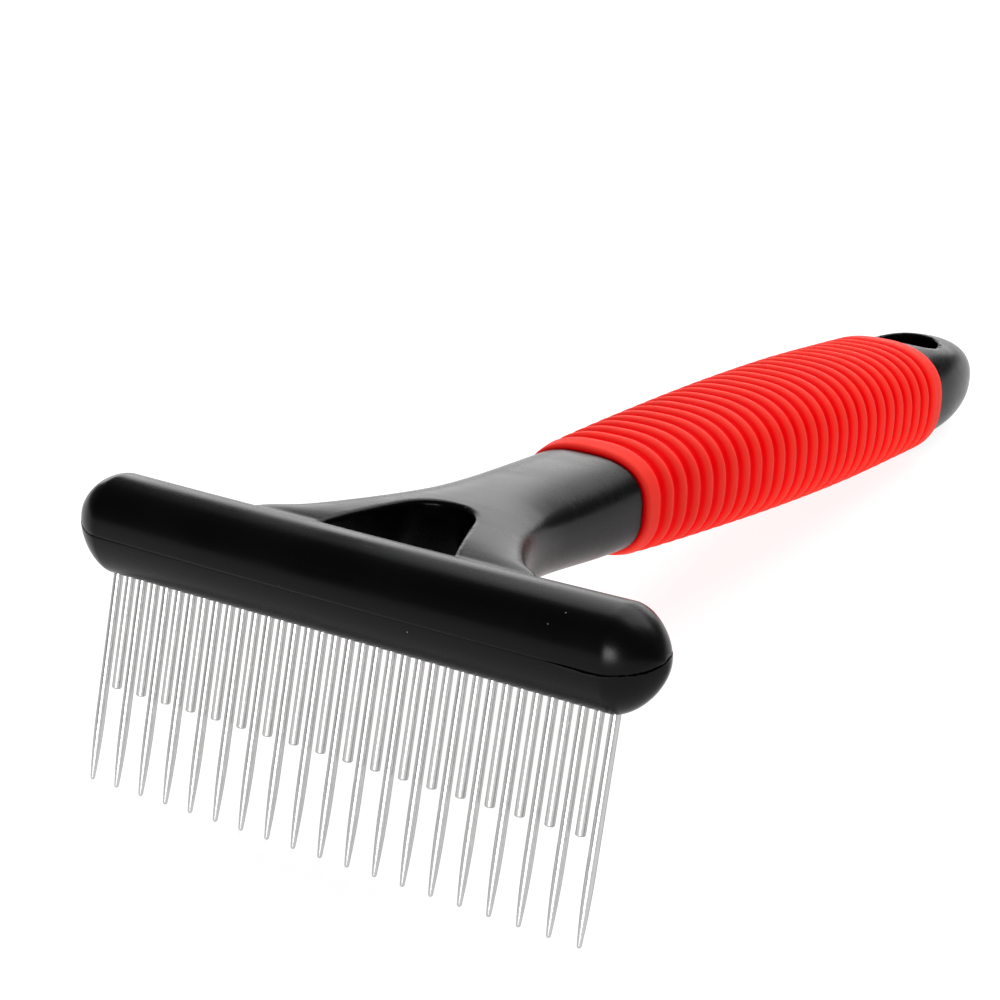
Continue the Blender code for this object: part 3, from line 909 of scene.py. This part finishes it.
def red_rubber():
    """Soft red rubber: matt, fine grained, with a painted sheen that makes the crests a paler red than
    the deep red grooves.
    """
    nodes = Nodes("red_rubber_grip")
    nodes.set(Specular_IOR_Level=RED_SPECULAR)
    clouds = nodes.noise(size=0.010, detail=3.0)
    fine = nodes.noise(size=0.00028, detail=3.0)
    # Painted sheen: the colour goes from the grooves' deep red to a paler red as the crest height rises
    groove = nodes.mix(clouds, *GROOVE_RED)
    crest = nodes.mix(clouds, *CREST_RED_PAINTED_SHEEN)
    tint = nodes.mix(nodes.ramp(nodes.attribute("crest"), (0.38, 0.85)), groove, crest)
    dust = nodes.specks(size=0.0019, radius=0.04)
    nodes.link(nodes.mix(dust, tint, RED_DUST), nodes.shader.inputs["Base Color"])
    nodes.link(nodes.ramp(fine, (0.35, 0.65), RED_ROUGHNESS), nodes.shader.inputs["Roughness"])
    nodes.bump(fine, distance=0.00004, strength=0.6)
    return nodes.material


def steel():
    """Ground stainless steel with fine streaks down the pin."""
    nodes = Nodes("ground_steel")
    nodes.set(Metallic=1.0, Specular_Tint=STEEL_EDGE)
    streaks = nodes.noise(size=0.00022, detail=3.0, scale=(1.0, 1.0, 0.05))
    clouds = nodes.noise(size=0.0035, detail=2.0)
    nodes.link(nodes.mix(clouds, *STEEL), nodes.shader.inputs["Base Color"])
    nodes.link(nodes.ramp(streaks, (0.3, 0.7), STEEL_ROUGHNESS), nodes.shader.inputs["Roughness"])
    nodes.bump(streaks, distance=0.000006, strength=0.15)
    return nodes.material


def white_floor():
    """A plain pale floor that glows a little, so that it stays white round the tool."""
    nodes = Nodes("white_floor")
    nodes.set(
        Roughness=1.0, Specular_IOR_Level=0.0, Base_Color=FLOOR_GREY,
        Emission_Color=WHITE, Emission_Strength=FLOOR_GLOW,
    )
    return nodes.material


# ---------------------------------------------------------------- studio


def add_floor():
    size = FLOOR_HALF_SIZE
    mesh = bpy.data.meshes.new("floor")
    corners = [(-size, -size, 0.0), (size, -size, 0.0), (size, size, 0.0), (-size, size, 0.0)]
    mesh.from_pydata(corners, [], [(0, 1, 2, 3)])
    floor = bpy.data.objects.new("floor", mesh)
    mesh.materials.append(white_floor())
    bpy.context.scene.collection.objects.link(floor)


def add_softbox(name, place, target, size, power):
    """A rectangular lamp of that width and height, turned towards its target."""
    data = bpy.data.lights.new(name, "AREA")
    data.shape = "RECTANGLE"
    data.size, data.size_y = size
    data.energy = power
    light = bpy.data.objects.new(name, data)
    light.location = place
    aim = Vector(target) - Vector(place)
    light.rotation_euler = aim.to_track_quat("-Z", "Y").to_euler()
    bpy.context.scene.collection.objects.link(light)


def add_world():
    world = bpy.data.worlds.new("studio")
    bpy.context.scene.world = world
    world.use_nodes = True
    background = world.node_tree.nodes["Background"]
    background.inputs["Color"].default_value = WHITE
    background.inputs["Strength"].default_value = SKY_STRENGTH


def add_lights():
    """Soft light from above, a low panel for the long reflections and a lamp for the small one."""
    add_softbox(
        "overhead", place=(0.0, 0.62, 0.85), target=(0.0, 0.1, 0.0), size=(1.3, 1.0), power=17.5
    )
    add_softbox(
        "back_panel", place=(-0.7, 1.15, 0.32), target=(0.0, 0.0, 0.05), size=(1.8, 0.5), power=9.0
    )
    add_softbox(
        "front_lamp", place=(0.25, -1.05, 0.14), target=(0.0, 0.0, 0.03), size=(0.42, 0.40), power=9.5
    )


def add_camera():
    data = bpy.data.cameras.new("camera")
    data.sensor_width = CAMERA_SENSOR
    data.lens = CAMERA_LENS
    data.shift_x, data.shift_y = CAMERA_SHIFT
    data.clip_start = CAMERA_CLIP
    camera = bpy.data.objects.new("camera", data)
    camera.location = CAMERA_PLACE
    camera.rotation_euler = Euler([math.radians(angle) for angle in CAMERA_TURN], "XYZ")
    bpy.context.scene.collection.objects.link(camera)
    bpy.context.scene.camera = camera


def main():
    black = black_plastic()
    add_moulding(black)
    add_cover(black)
    add_grip(red_rubber())
    add_pins(steel())
    add_floor()
    add_world()
    add_lights()
    add_camera()
    bpy.context.scene.view_settings.view_transform = "Standard"


main()
